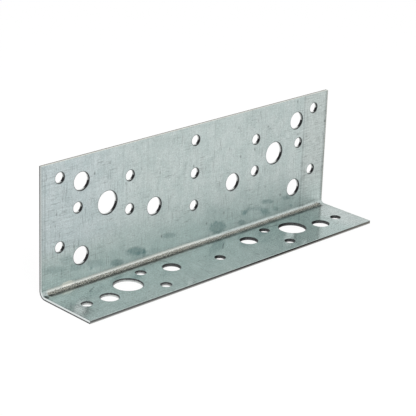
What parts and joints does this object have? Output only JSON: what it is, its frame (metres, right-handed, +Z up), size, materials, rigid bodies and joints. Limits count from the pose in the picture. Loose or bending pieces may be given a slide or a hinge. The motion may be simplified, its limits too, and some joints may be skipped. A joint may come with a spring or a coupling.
{
  "type": "angle bracket",
  "caption": "Perforated angle bracket folded from one strip of galvanised sheet, with nail, screw and bolt holes in both legs.",
  "frame": {"origin": "middle of the footprint, on the underside of the foot leg", "axes": "+X runs along the fold, +Y points towards the back face of the upright leg, +Z points up"},
  "size_m": [0.18, 0.034, 0.061],
  "materials": {
    "galvanised_steel": "galvanised, satin"
  },
  "bodies": {
    "root": {"angle_bracket": "galvanised_steel"}
  },
  "joints": []
}
